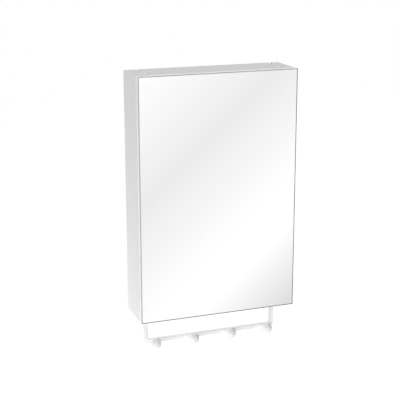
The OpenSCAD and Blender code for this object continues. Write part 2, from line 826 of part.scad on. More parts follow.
// Pane on the front of the board, with a narrow bevel on all four sides
module mirror_pane() {
    color([0.86, 0.88, 0.9])
    difference() {
        box([-half_w, mirror_front_y, -half_h], [half_w, board_front_y, half_h]);
        for (a = [0, 180])
            rotate([0, a, 0]) translate([half_w, mirror_front_y, 0]) bevel_cut(cabinet_h);
        for (a = [90, 270])
            rotate([0, a, 0]) translate([half_h, mirror_front_y, 0]) bevel_cut(cabinet_w);
    }
}

// Hook rail

// Section of the square tube
module tube_section() {
    difference() {
        round_rect(tube_w, tube_w, tube_edge_r);
        round_rect(tube_w - 2 * tube_wall, tube_w - 2 * tube_wall, tube_edge_r - tube_wall);
    }
}

// U in one length: the bar, two bends and two uprights that end on the feet
module rail_tube() {
    bend_x = upright_x - bend_centre_r;
    bend_z = rail_bar_z + bend_centre_r;
    translate([-bend_x, -rail_y, rail_bar_z]) rotate([90, 0, 90]) linear_extrude(2 * bend_x) tube_section();
    for (s = [0, 1])
        mirror([s, 0, 0]) translate([0, -rail_y, 0]) {
            translate([bend_x, 0, bend_z]) rotate([90, 0, 0]) rotate([0, 0, -90])
                rotate_extrude(angle = 90) translate([bend_centre_r, 0]) tube_section();
            translate([upright_x, 0, bend_z]) linear_extrude(foot_z - bend_z) tube_section();
        }
}

module hook_rail() {
    color([0.96, 0.96, 0.95])
    difference() {
        rail_tube();
        for (x = ball_xs)
            rod_y(x, -rail_y - tube_w, rail_bar_z, hook_screw_d / 2 + fit_gap, 2 * tube_w);
    }
}

// Plates welded on the uprights and screwed under the bottom panel
module rail_feet() {
    color([0.96, 0.96, 0.95])
    for (x = foot_xs)
        difference() {
            translate([x, -joint_row_y, foot_z])
                linear_extrude(foot_t) round_rect(foot_w, foot_l, foot_w / 4);
            for (y = foot_screw_ys) rod_z(x, y, foot_z - 1, end_hole_d / 2, foot_t + 2);
        }
}

module rail_screws() {
    color([0.9, 0.9, 0.9])
    for (x = foot_xs)
        for (y = foot_screw_ys)
            translate([x, y, foot_z])
                screw(rail_screw_d, foot_t + rail_screw_bite, 2 * rail_screw_d, 0.45 * rail_screw_d);
}

// Ball with a seat for the stem and a hole for the screw
module hook_ball(i) {
    color([0.98, 0.98, 0.97])
    difference() {
        translate([ball_xs[i], ball_y, rail_bar_z]) rotate([90, 0, 0]) sphere(r = ball_d / 2);
        rod_y(ball_xs[i], ball_y + ball_d / 2 - stem_seat, rail_bar_z, stem_d / 2 + fit_gap, stem_seat + 1);
        rod_y(ball_xs[i], ball_y - fit_gap, rail_bar_z, hook_screw_d / 2 + fit_gap, ball_d);
    }
}

module hook_stems() {
    color([0.96, 0.96, 0.95])
    for (x = ball_xs)
        difference() {
            rod_y(x, -rail_y - tube_half - stem_l, rail_bar_z, stem_d / 2, stem_l);
            rod_y(x, -rail_y - tube_half - stem_l - 1, rail_bar_z, hook_screw_d / 2 + fit_gap, stem_l + 2);
        }
}

// Screws through the bar and the stems into the balls
module hook_screws() {
    reach = tube_w + ball_gap + ball_d / 2;
    color(steel)
    for (x = ball_xs)
        translate([x, -rail_y + tube_half, rail_bar_z]) rotate([90, 0, 0])
            screw(hook_screw_d, reach, 2 * hook_screw_d, hook_head_h);
}

// Plugs that close the unused holes in the top panel
module top_plugs() {
    dome_r = (pow(plug_head_d / 2, 2) + pow(plug_dome_h, 2)) / (2 * plug_dome_h);
    wall_h = plug_head_h - plug_dome_h;
    color([0.97, 0.97, 0.96])
    for (x = foot_xs)
        for (y = foot_screw_ys)
            translate([x, y, half_h]) {
                translate([0, 0, -plug_shank_l])
                    cylinder(h = plug_shank_l + eps, r = end_hole_d / 2 - fit_gap);
                cylinder(h = wall_h, r = plug_head_d / 2);
                intersection() {
                    translate([0, 0, plug_head_h - dome_r]) rotate_extrude() intersection() {
                        circle(dome_r);
                        translate([0, -dome_r]) square([dome_r, 2 * dome_r]);
                    }
                    translate([0, 0, wall_h - eps]) cylinder(h = plug_dome_h + 1, r = plug_head_d / 2);
                }
            }
}

side_panel_left();
side_panel_right();
top_panel();
bottom_panel();
back_panel();
hanging_rail(1);  // hanging_rail_upper
hanging_rail(-1);  // hanging_rail_lower
carcass_edge_bands();
dowels();
cam_bolts();
cam_locks();
shelf(shelf_level);  // shelf_upper
shelf(-shelf_level);  // shelf_lower
shelf_pins();
door_bumpers();
hinge_plate(1);  // hinge_plate_upper
hinge_plate(-1);  // hinge_plate_lower
hinge_plate_screws();
hinge_arm(1);  // hinge_arm_upper
hinge_arm(-1);  // hinge_arm_lower
hinge_arm_screws();
latch_housing();
latch_screws();
latch_spring();
latch_plunger();
door_board();
door_edge_bands();
mirror_pane();
hinge_cup(1);  // hinge_cup_upper
hinge_cup(-1);  // hinge_cup_lower
hinge_pins();
hinge_cup_screws();
latch_strike();
strike_screws();
hook_rail();
rail_feet();
rail_screws();
hook_ball(0);  // hook_ball_1
hook_ball(1);  // hook_ball_2
hook_ball(2);  // hook_ball_3
hook_ball(3);  // hook_ball_4
hook_stems();
hook_screws();
top_plugs();
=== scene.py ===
"""Looks of a wall-hung mirror cabinet with a hook rail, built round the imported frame."""

import math

import bmesh
import bpy
from bpy.props import FloatProperty, FloatVectorProperty, IntProperty, PointerProperty
from mathutils import Matrix, Vector


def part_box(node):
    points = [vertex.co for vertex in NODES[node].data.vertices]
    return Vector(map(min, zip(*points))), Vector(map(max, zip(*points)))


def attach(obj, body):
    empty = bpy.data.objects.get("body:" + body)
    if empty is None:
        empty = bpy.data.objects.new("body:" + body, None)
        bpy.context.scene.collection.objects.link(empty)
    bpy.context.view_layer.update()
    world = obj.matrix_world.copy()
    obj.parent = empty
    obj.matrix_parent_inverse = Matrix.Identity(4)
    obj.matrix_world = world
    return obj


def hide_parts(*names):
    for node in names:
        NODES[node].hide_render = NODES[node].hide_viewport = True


bl_info = {
    "name": "Mirror Cabinet",
    "version": (1, 0, 0),
    "blender": (4, 5, 0),
    "location": "3D View > Sidebar > Cabinet",
    "description": "Finishes and detailed pieces for a mirror cabinet with a hook rail",
    "category": "Object",
}

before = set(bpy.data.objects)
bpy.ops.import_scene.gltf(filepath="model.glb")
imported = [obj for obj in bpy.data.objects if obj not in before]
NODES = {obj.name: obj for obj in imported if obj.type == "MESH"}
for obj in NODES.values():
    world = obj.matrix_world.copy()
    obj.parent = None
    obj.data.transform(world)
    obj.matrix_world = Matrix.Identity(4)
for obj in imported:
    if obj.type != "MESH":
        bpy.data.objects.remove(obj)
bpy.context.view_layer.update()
MM = 0.001
FAR = 10.0
RIGHT, LEFT, REAR, FRONT, UP = (Vector(way) for way in ((1, 0, 0), (-1, 0, 0), (0, 1, 0), (0, -1, 0), (0, 0, 1)))


# Node helpers

def feed(tree, node, inputs):
    """Sets a node's inputs. Each is a plain value, or another node's socket, which is linked."""
    for name, value in inputs.items():
        if isinstance(value, bpy.types.NodeSocket):
            tree.links.new(value, node.inputs[name])
        else:
            node.inputs[name].default_value = value


def add(tree, kind, inputs=None, **settings):
    """Adds a node with its settings and its inputs."""
    node = tree.nodes.new(kind)
    for name, value in settings.items():
        setattr(node, name, value)
    feed(tree, node, inputs or {})
    return node


def first(tree, kind, inputs=None, **settings):
    """Adds a node, and gives its first output."""
    return add(tree, kind, inputs, **settings).outputs[0]


def sums(tree, operation, *values):
    """Result of one arithmetic step."""
    return first(tree, "ShaderNodeMath", dict(enumerate(values)), operation=operation)


def vectors(tree, operation, *values):
    """Result of one arithmetic step on vectors."""
    return first(tree, "ShaderNodeVectorMath", dict(enumerate(values)), operation=operation)


def mixed(tree, factor, low, high, blend="MIX"):
    """Colour between two colours."""
    return add(tree, "ShaderNodeMix", {0: factor, 6: low, 7: high}, data_type="RGBA", blend_type=blend).outputs[2]


def spread(tree, value, low, high, out_low, out_high):
    """Value moved from one range to another, and kept in it."""
    return first(tree, "ShaderNodeMapRange",
                 {"Value": value, "From Min": low, "From Max": high, "To Min": out_low, "To Max": out_high})


def here(tree):
    """Place on the piece, for patterns to follow."""
    return add(tree, "ShaderNodeTexCoord").outputs["Object"]


def noise(tree, place, scale, detail, roughness=0.5):
    """Smooth noise from nought to one."""
    return first(tree, "ShaderNodeTexNoise",
                 {"Vector": place, "Scale": scale, "Detail": detail, "Roughness": roughness})


def bump(tree, height, strength, distance):
    """Normal of a relief."""
    return first(tree, "ShaderNodeBump", {"Height": height, "Strength": strength, "Distance": distance})


def effect_group(name, inputs, outputs):
    """Empty shader group with named sockets: its tree, the sockets that come in, and its output node."""
    tree = bpy.data.node_groups.new(name, "ShaderNodeTree")
    for label, kind, default in inputs:
        socket = tree.interface.new_socket(name=label, in_out="INPUT", socket_type="NodeSocket" + kind)
        socket.default_value = default
    for label, kind in outputs:
        tree.interface.new_socket(name=label, in_out="OUTPUT", socket_type="NodeSocket" + kind)
    return tree, tree.nodes.new("NodeGroupInput").outputs, tree.nodes.new("NodeGroupOutput")


def use_effect(tree, name, values):
    """Places an effect in a material with that material's own values. Its group is built once."""
    group = bpy.data.node_groups.get(name) or EFFECTS[name](name)
    return add(tree, "ShaderNodeGroup", values, node_tree=group).outputs


# Effects that several finishes share

def surface_grain(name):
    """Fine relief, a slow change of tone and uneven gloss."""
    tree, given, end = effect_group(
        name,
        [("Colour", "Color", (0.8, 0.8, 0.8, 1)), ("Tone Change", "Float", 0.02), ("Stretch", "Vector", (1, 1, 1)),
         ("Scale", "Float", 900.0), ("Roughness", "Float", 0.4), ("Gloss Change", "Float", 0.06),
         ("Relief", "Float", 0.1)],
        [("Colour", "Color"), ("Roughness", "Float"), ("Normal", "Vector")])
    place = here(tree)
    fine = noise(tree, vectors(tree, "MULTIPLY", place, given["Stretch"]), given["Scale"], 3.0, 0.6)
    slow = noise(tree, place, 7.0, 2.0)
    change = spread(tree, slow, 0.3, 0.7, sums(tree, "MULTIPLY", given["Tone Change"], -1.0), 0.0)
    grey = sums(tree, "ADD", 1.0, change)
    tone = first(tree, "ShaderNodeCombineColor", {"Red": grey, "Green": grey, "Blue": grey})
    gloss = sums(tree, "MULTIPLY", sums(tree, "SUBTRACT", fine, 0.5), given["Gloss Change"])
    feed(tree, end, {"Colour": mixed(tree, 1.0, given["Colour"], tone, "MULTIPLY"),
                     "Roughness": sums(tree, "ADD", given["Roughness"], gloss),
                     "Normal": bump(tree, fine, given["Relief"], 0.4 * MM)})
    return tree


def inside_box(name):
    """Mask of what lies inside a box, such as the walls of bores in a laminated board."""
    tree, given, end = effect_group(
        name, [("Low", "Vector", (-1, -1, -1)), ("High", "Vector", (1, 1, 1))], [("Mask", "Float")])
    place = here(tree)
    mask = 1.0
    for past in (vectors(tree, "SUBTRACT", place, given["Low"]), vectors(tree, "SUBTRACT", given["High"], place)):
        for axis in add(tree, "ShaderNodeSeparateXYZ", {0: past}).outputs:
            mask = sums(tree, "MULTIPLY", sums(tree, "GREATER_THAN", axis, 0.0), mask)
    feed(tree, end, {"Mask": mask})
    return tree


def pressed_chips(name):
    """Raw particle board, as the walls of a bore show it."""
    tree, given, end = effect_group(
        name, [("Chip Size", "Float", 2.2), ("Light", "Color", (0.56, 0.41, 0.25, 1)),
               ("Dark", "Color", (0.26, 0.17, 0.09, 1))], [("Colour", "Color")])
    place = here(tree)
    scale = sums(tree, "DIVIDE", 1000.0, given["Chip Size"])
    chips = first(tree, "ShaderNodeTexVoronoi", {"Vector": place, "Scale": scale})
    dust = noise(tree, place, 2600.0, 2.0)
    blend = sums(tree, "MULTIPLY_ADD", chips, 0.9, sums(tree, "MULTIPLY", dust, 0.3))
    feed(tree, end, {"Colour": mixed(tree, blend, given["Light"], given["Dark"])})
    return tree


EFFECTS = {"Surface Grain": surface_grain, "Inside Box": inside_box, "Pressed Chips": pressed_chips}


# Finishes

def principled(material):
    """Principled shader of a material."""
    return next(node for node in material.node_tree.nodes if node.type == "BSDF_PRINCIPLED")


def blank_finish(name):
    """New material with its tree and its Principled shader."""
    material = bpy.data.materials.new(name)
    material.use_nodes = True
    return material, material.node_tree, principled(material)


def grained_finish(name, colour, roughness, scale=900.0, relief=0.1, tone=0.02, gloss=0.06, metallic=0.0,
                   stretch=(1, 1, 1), coat=0.0, coat_roughness=0.1, specular=0.5):
    """Finish with a fine surface, for boards, paint, plastic, wood and metal."""
    material, tree, shader = blank_finish(name)
    grain = use_effect(tree, "Surface Grain", {
        "Colour": (*colour, 1), "Tone Change": tone, "Stretch": stretch, "Scale": scale, "Roughness": roughness,
        "Gloss Change": gloss, "Relief": relief})
    feed(tree, shader, {
        "Base Color": grain["Colour"], "Roughness": grain["Roughness"], "Normal": grain["Normal"],
        "Metallic": metallic, "Coat Weight": coat, "Coat Roughness": coat_roughness, "Specular IOR Level": specular})
    return material


def board_finish(node, colour, faces):
    """White laminate on a board, with raw chips on the walls of its bores. faces names the laminated axes."""
    low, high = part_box(node)
    skin, raw_roughness = 0.12 * MM, 0.9
    material = grained_finish("Laminate " + node, colour, 0.42, scale=1400.0, relief=0.07, tone=0.012, gloss=0.08)
    tree, shader = material.node_tree, principled(material)
    white, sheen = (shader.inputs[name].links[0].from_socket for name in ("Base Color", "Roughness"))
    mask = use_effect(tree, "Inside Box", {
        "Low": [low[i] + skin if "XYZ"[i] in faces else -FAR for i in range(3)],
        "High": [high[i] - skin if "XYZ"[i] in faces else FAR for i in range(3)]})["Mask"]
    chips = use_effect(tree, "Pressed Chips", {"Chip Size": 2.2})["Colour"]
    feed(tree, shader, {"Base Color": mixed(tree, mask, white, chips),
                        "Roughness": first(tree, "ShaderNodeMix", {0: mask, 2: sheen, 3: raw_roughness})})
    return material


def float_waves(tree, scale, strength):
    """Normal with the faint waves of float glass."""
    return bump(tree, noise(tree, here(tree), scale, 1.0), strength, 0.2 * MM)


def mirror_face_finish(colour):
    """Silvered glass seen from the front: a clean reflection under a faint, uneven film."""
    material, tree, shader = blank_finish("Silvered Glass")
    film = noise(tree, here(tree), 2.4, 3.0)
    dimmed = [0.995 * c for c in colour]
    feed(tree, shader, {"Base Color": mixed(tree, film, (*dimmed, 1), (*colour, 1)),
                        "Roughness": spread(tree, film, 0.3, 0.7, 0.012, 0.022),
                        "Normal": float_waves(tree, 5.0, 0.02), "Metallic": 1.0})
    return material


def clear_glass_finish():
    """Clear glass with a breath of green."""
    material, tree, shader = blank_finish("Clear Shelf Glass")
    feed(tree, shader, {"Base Color": (0.94, 0.985, 0.965, 1), "Roughness": 0.0, "IOR": 1.5,
                        "Transmission Weight": 1.0, "Normal": float_waves(tree, 9.0, 0.03)})
    return material


# Geometry helpers

def islands(node):
    """Box of each separate solid in a CAD node, as (low, high), sorted by place."""
    mesh = bmesh.new()
    mesh.from_mesh(NODES[node].data)
    bmesh.ops.remove_doubles(mesh, verts=mesh.verts, dist=1e-6)
    seen, boxes = set(), []
    for start in mesh.verts:
        if start in seen:
            continue
        seen.add(start)
        todo, group = [start], []
        while todo:
            vertex = todo.pop()
            group.append(vertex.co.copy())
            near = {edge.other_vert(vertex) for edge in vertex.link_edges} - seen
            seen |= near
            todo += near
        boxes.append([Vector([limit(point[i] for point in group) for i in range(3)]) for limit in (min, max)])
    mesh.free()
    return sorted(boxes, key=lambda box: [round(box[0][i], 4) for i in (2, 0, 1)])


def centre(low, high, **kept):
    """Middle of a box, but at the coordinates that are given by name."""
    point = (low + high) / 2
    for axis, value in kept.items():
        setattr(point, axis, value)
    return point


def show(name, mesh, body, node, materials=()):
    """Makes a piece of a mesh that is already in its place, instead of a CAD node."""
    piece = bpy.data.objects.new(name, mesh)
    bpy.context.scene.collection.objects.link(piece)
    for material in materials:
        mesh.materials.append(material)
    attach(piece, body)
    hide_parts(node)


def settle(work, mesh, crease=0):
    """Ends a bmesh as a mesh with its faces outwards. A crease makes it smooth, but for edges sharper than that."""
    bmesh.ops.recalc_face_normals(work, faces=work.faces)
    work.normal_update()
    if crease:
        for face in work.faces:
            face.smooth = True
        for edge in work.edges:
            edge.smooth = len(edge.link_faces) == 2 and edge.calc_face_angle(0) < math.radians(crease)
    work.to_mesh(mesh)
    work.free()
    return mesh


def shell(work, rings, paint):
    """Closed shell over rings of points, and its last and first cap. paint gives a wall face's finish number."""
    rings = [[work.verts.new(point) for point in ring] for ring in rings]
    for row, (under, over) in enumerate(zip(rings, rings[1:])):
        for i in range(len(under)):
            j = (i + 1) % len(under)
            work.faces.new((under[i], under[j], over[j], over[i])).material_index = paint(row, i)
    return work.faces.new(rings[-1]), work.faces.new(reversed(rings[0]))


def rounded_plate(work, low, high, radius, steps, rows, wall=0):
    """Level plate with round corners, over rows of (height, step out), and its wall's finish number."""
    left, right, front, rear = low.x + radius, high.x - radius, low.y + radius, high.y - radius
    corners = ((right, rear, 0), (left, rear, 90), (left, front, 180), (right, front, 270))
    outline = [(x, y, math.radians(turn + 90 * step / steps)) for x, y, turn in corners for step in range(steps + 1)]
    shell(work, [[(x + (radius + out) * math.cos(a), y + (radius + out) * math.sin(a), z) for x, y, a in outline]
                 for z, out in rows], lambda row, side: wall)


class ShapeTree:
    """Geometry node tree that makes one shape from named sizes."""

    def __init__(self, name, sizes):
        self.tree = bpy.data.node_groups.new(name, "GeometryNodeTree")
        face = self.tree.interface
        face.new_socket(name="Points", in_out="INPUT", socket_type="NodeSocketGeometry")
        for label, default in sizes.items():
            kind = "NodeSocketInt" if isinstance(default, int) else "NodeSocketFloat"
            face.new_socket(name=label, in_out="INPUT", socket_type=kind).default_value = default
        face.new_socket(name="Finish", in_out="INPUT", socket_type="NodeSocketMaterial")
        face.new_socket(name="Shape", in_out="OUTPUT", socket_type="NodeSocketGeometry")
        self.size = self.tree.nodes.new("NodeGroupInput").outputs

    def put(self, kind, inputs=None, **settings):
        return first(self.tree, kind, inputs, **settings)

    def times(self, value, factor):
        return sums(self.tree, "MULTIPLY", value, factor)

    def plus(self, value, other):
        return sums(self.tree, "ADD", value, other)

    def less(self, value, other):
        return sums(self.tree, "SUBTRACT", value, other)

    def vector(self, x=0.0, y=0.0, z=0.0):
        return self.put("ShaderNodeCombineXYZ", {"X": x, "Y": y, "Z": z})

    def raised(self, shape, height):
        return self.put("GeometryNodeTransform", {"Geometry": shape, "Translation": self.vector(z=height)})

    def cone(self, sides, radius, top_radius, low, high, ends="NGON"):
        """Cone or cylinder about Z between two heights."""
        wall = self.put("GeometryNodeMeshCone",
                        {"Vertices": sides, "Radius Bottom": radius, "Radius Top": top_radius,
                         "Depth": self.less(high, low)}, fill_type=ends)
        return self.raised(wall, low)

    def turned(self, rows, sides=40):
        """Closed shape turned about Z from rows of (radius, height), lowest first."""
        walls = [self.cone(sides, radius, top_radius, low, high, "NONE")
                 for (radius, low), (top_radius, high) in zip(rows, rows[1:])]
        under, over = (self.raised(self.put("GeometryNodeMeshCircle", {"Vertices": sides, "Radius": radius},
                                            fill_type="NGON"), height) for radius, height in (rows[0], rows[-1]))
        under = self.put("GeometryNodeFlipFaces", {"Mesh": under})
        return self.put("GeometryNodeMergeByDistance",
                        {"Geometry": self.joined(*walls, under, over), "Distance": 1e-6})

    def block(self, x, y, z, height):
        return self.raised(self.put("GeometryNodeMeshCube", {"Size": self.vector(x, y, z)}), height)

    def cut(self, shape, tool):
        return self.put("GeometryNodeMeshBoolean", {0: shape, 1: tool}, operation="DIFFERENCE", solver="EXACT")

    def joined(self, *shapes):
        node = self.tree.nodes.new("GeometryNodeJoinGeometry")
        for shape in reversed(shapes):
            self.tree.links.new(shape, node.inputs[0])
        return node.outputs[0]

    def swept(self, path, profile):
        return self.put("GeometryNodeCurveToMesh", {"Curve": path, "Profile Curve": profile, "Fill Caps": True})

    def coil(self, turns, steps, radius, height, sides, wire_radius):
        """Wire wound about Z, with its steps for each turn and the sides of its section."""
        path = self.put("GeometryNodeCurveSpiral",
                        {"Resolution": steps, "Rotations": turns, "Start Radius": radius, "End Radius": radius,
                         "Height": height, "Reverse": False})
        section = self.put("GeometryNodeCurvePrimitiveCircle", {"Resolution": sides, "Radius": wire_radius})
        return self.swept(path, section)

    def close(self, shape, on_points=True):
        """Ends the tree as a real mesh with its finish. On points, the shape turns to each point's direction."""
        if on_points:
            way = add(self.tree, "GeometryNodeInputNamedAttribute", {"Name": "direction"}, data_type="FLOAT_VECTOR")
            turn = self.put("FunctionNodeAlignRotationToVector", {"Vector": way.outputs["Attribute"]}, axis="Z")
            shape = self.put("GeometryNodeInstanceOnPoints",
                             {"Points": self.size["Points"], "Instance": shape, "Rotation": turn})
        real = self.put("GeometryNodeRealizeInstances", {"Geometry": shape})
        coated = self.put("GeometryNodeSetMaterial", {"Geometry": real, "Material": self.size["Finish"]})
        add(self.tree, "NodeGroupOutput", {"Shape": coated})
        return self.tree


def grow(name, tree, points, sizes, finish, node, body="cabinet", edges=(), crease=35):
    """Runs a shape tree on points and directions, and keeps its result as a plain mesh piece."""
    base = bpy.data.meshes.new(name + " points")
    base.from_pydata([tuple(point) for point, _ in points], list(edges), [])
    way = base.attributes.new("direction", "FLOAT_VECTOR", "POINT")
    for item, (_, direction) in zip(way.data, points):
        item.vector = direction
    holder = bpy.data.objects.new(name + " holder", base)
    bpy.context.scene.collection.objects.link(holder)
    modifier = holder.modifiers.new("Shape", "NODES")
    modifier.node_group = tree
    given = {**sizes, "Finish": finish}
    for socket in tree.interface.items_tree:
        if socket.in_out == "INPUT" and socket.name in given:
            modifier[socket.identifier] = given[socket.name]
    bpy.context.view_layer.update()
    graph = bpy.context.evaluated_depsgraph_get()
    mesh = bpy.data.meshes.new_from_object(holder.evaluated_get(graph))
    holder.modifiers.clear()
    bpy.data.objects.remove(holder)
    bpy.data.meshes.remove(base)
    if not mesh.polygons:
        raise RuntimeError("the shape tree of " + name + " gave no faces")
    mesh.name = name
    work = bmesh.new()
    work.from_mesh(mesh)
    bmesh.ops.remove_doubles(work, verts=work.verts, dist=1e-7)
    settle(work, mesh, crease)
    for attribute in [a.name for a in mesh.attributes if a.name in ("direction", "UVMap")]:
        mesh.attributes.remove(mesh.attributes[attribute])
    show(name, mesh, body, node)


def finish_nodes(material, *nodes):
    """Puts a finish on CAD nodes that stay as they are."""
    for node in nodes:
        NODES[node].data.materials.clear()
        NODES[node].data.materials.append(material)


# Settings in the sidebar

class CabinetSizes(bpy.types.PropertyGroup):
    bevel_width: FloatProperty(
        name="Bevel width", description="Width of the bevel round the mirror", default=0.0027, min=0.0005,
        unit="LENGTH")
    bevel_drop: FloatProperty(
        name="Bevel drop", description="Drop of the bevel at the mirror's edge", default=0.0005, min=0.0002,
        unit="LENGTH")
    arris: FloatProperty(
        name="Arris", description="Width of the ground arris on glass edges", default=0.0003, min=0.0001, unit="LENGTH")
    shelf_corner: FloatProperty(
        name="Shelf corner", description="Corner radius of a glass shelf", default=0.003, min=0.001, unit="LENGTH")
    tube_edge: FloatProperty(
        name="Tube edge", description="Radius of the rail tube's long edges", default=0.0015, min=0.0005, unit="LENGTH")
    bend_radius: FloatProperty(
        name="Bend radius", description="Radius of the rail's bends, to the tube's centre line", default=0.008,
        min=0.006, unit="LENGTH")
    ball_segments: IntProperty(
        name="Ball segments", description="Segments round a ball hook", default=64, min=24, max=128)


class CabinetColours(bpy.types.PropertyGroup):
    laminate: FloatVectorProperty(
        name="Laminate", description="White laminate of the boards", subtype="COLOR", size=3,
        default=(0.815, 0.815, 0.811), min=0, max=1)
    band: FloatVectorProperty(
        name="Edge band", description="Bands on the edges of the boards", subtype="COLOR", size=3,
        default=(0.87, 0.87, 0.86), min=0, max=1)
    silver: FloatVectorProperty(
        name="Mirror", description="Silvering of the mirror", subtype="COLOR", size=3, default=(0.99, 0.99, 0.99),
        min=0, max=1)
    coat: FloatVectorProperty(
        name="Powder coat", description="Paint of the hook rail", subtype="COLOR", size=3,
        default=(0.84, 0.84, 0.835), min=0, max=1)
    gloss: FloatVectorProperty(
        name="Gloss white", description="Glossy paint of the ball hooks", subtype="COLOR", size=3,
        default=(0.84, 0.84, 0.835), min=0, max=1)
    nickel: FloatVectorProperty(
        name="Nickel", description="Plated steel of hinges and screws", subtype="COLOR", size=3,
        default=(0.62, 0.61, 0.59), min=0, max=1)


SETTINGS = "cabinet_sizes"
COLOURS = "cabinet_colours"


def settings():
    return getattr(bpy.context.scene, SETTINGS)


def colours():
    return getattr(bpy.context.scene, COLOURS)


# Pieces

class CABINET_OT_boards(bpy.types.Operator):
    """Laminate, bands and bare bores on the carcass and the door board"""
    bl_idname = "cabinet.boards"
    bl_label = "Boards and bands"

    def execute(self, context):
        laminated = {"side_panel_left": "XZ", "side_panel_right": "XZ", "top_panel": "Z", "bottom_panel": "Z",
                     "hanging_rail_upper": "YZ", "hanging_rail_lower": "YZ", "back_panel": "Y", "door_board": "XYZ"}
        for node, faces in laminated.items():
            finish_nodes(board_finish(node, colours().laminate, faces), node)
        band = grained_finish("Edge Band", colours().band, 0.14, scale=1800.0, relief=0.02, tone=0.008, gloss=0.05,
                              coat=0.75)
        finish_nodes(band, "carcass_edge_bands", "door_edge_bands")
        return {"FINISHED"}


class CABINET_OT_mirror(bpy.types.Operator):
    """Mirror pane with a bevel, a ground arris and a painted back"""
    bl_idname = "cabinet.mirror"
    bl_label = "Mirror"

    def execute(self, context):
        low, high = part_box("mirror_pane")
        width, drop, arris = settings().bevel_width, settings().bevel_drop, settings().arris
        rows = ((0.0, high.y), (0.0, low.y + drop + arris), (arris, low.y + drop * (1 - arris / width)),
                (width - arris, low.y + drop * arris / width), (width, low.y))
        edge, bevel, back, painted_shade_bevel = 1, 2, 3, 4    # places in the list of finishes
        work = bmesh.new()
        # The bevel's bottom and right runs take a near-black copy of the bevel finish and its top and left runs a
        # lighter grey one: painted shade and painted light on the one bevel.
        _, rear = shell(work, [[(low.x + inset, y, low.z + inset), (high.x - inset, y, low.z + inset),
                                (high.x - inset, y, high.z - inset), (low.x + inset, y, high.z - inset)]
                               for inset, y in rows],
                        lambda row, side: edge if row < 2 else (painted_shade_bevel, painted_shade_bevel, bevel, bevel)[side])
        rear.material_index = back
        silvered = {"scale": 600.0, "relief": 0.01, "tone": 0.04, "gloss": 0.03, "metallic": 0.9}
        show("mirror", settle(work, bpy.data.meshes.new("mirror")), "door", "mirror_pane", (
            mirror_face_finish(colours().silver),
            grained_finish("Ground Glass Edge", (0.6, 0.66, 0.635), 0.4, scale=2500.0, relief=0.12, tone=0.1),
            # Top and left bevel runs: a lighter grey, painted light.
            grained_finish("Mirror Bevel", (0.42, 0.43, 0.425), 0.16, **silvered),
            grained_finish("Mirror Backing Paint", (0.33, 0.34, 0.35), 0.6, scale=500.0, relief=0.15, tone=0.06),
            # Bottom and right bevel runs: the same finish near-black, painted shade.
            grained_finish("Mirror Bevel Painted Shade", (0.07, 0.076, 0.074), 0.16, **silvered)))
        return {"FINISHED"}


class CABINET_OT_shelves(bpy.types.Operator):
    """Two clear glass shelves with round corners and polished green edges"""
    bl_idname = "cabinet.shelves"
    bl_label = "Glass shelves"

    def execute(self, context):
        finishes = (clear_glass_finish(),
                    grained_finish("Polished Glass Edge", (0.36, 0.56, 0.48), 0.12, scale=700.0, relief=0.02,
                                   tone=0.25, coat=0.4))
        arris = settings().arris
        for node in ("shelf_upper", "shelf_lower"):
            low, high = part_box(node)
            work = bmesh.new()
            rounded_plate(work, low, high, settings().shelf_corner, 6,
                          ((low.z, -arris), (low.z + arris, 0.0), (high.z - arris, 0.0), (high.z, -arris)), wall=1)
            name = "glass_" + node
            show(name, settle(work, bpy.data.meshes.new(name), 30), "cabinet", node, finishes)
        return {"FINISHED"}


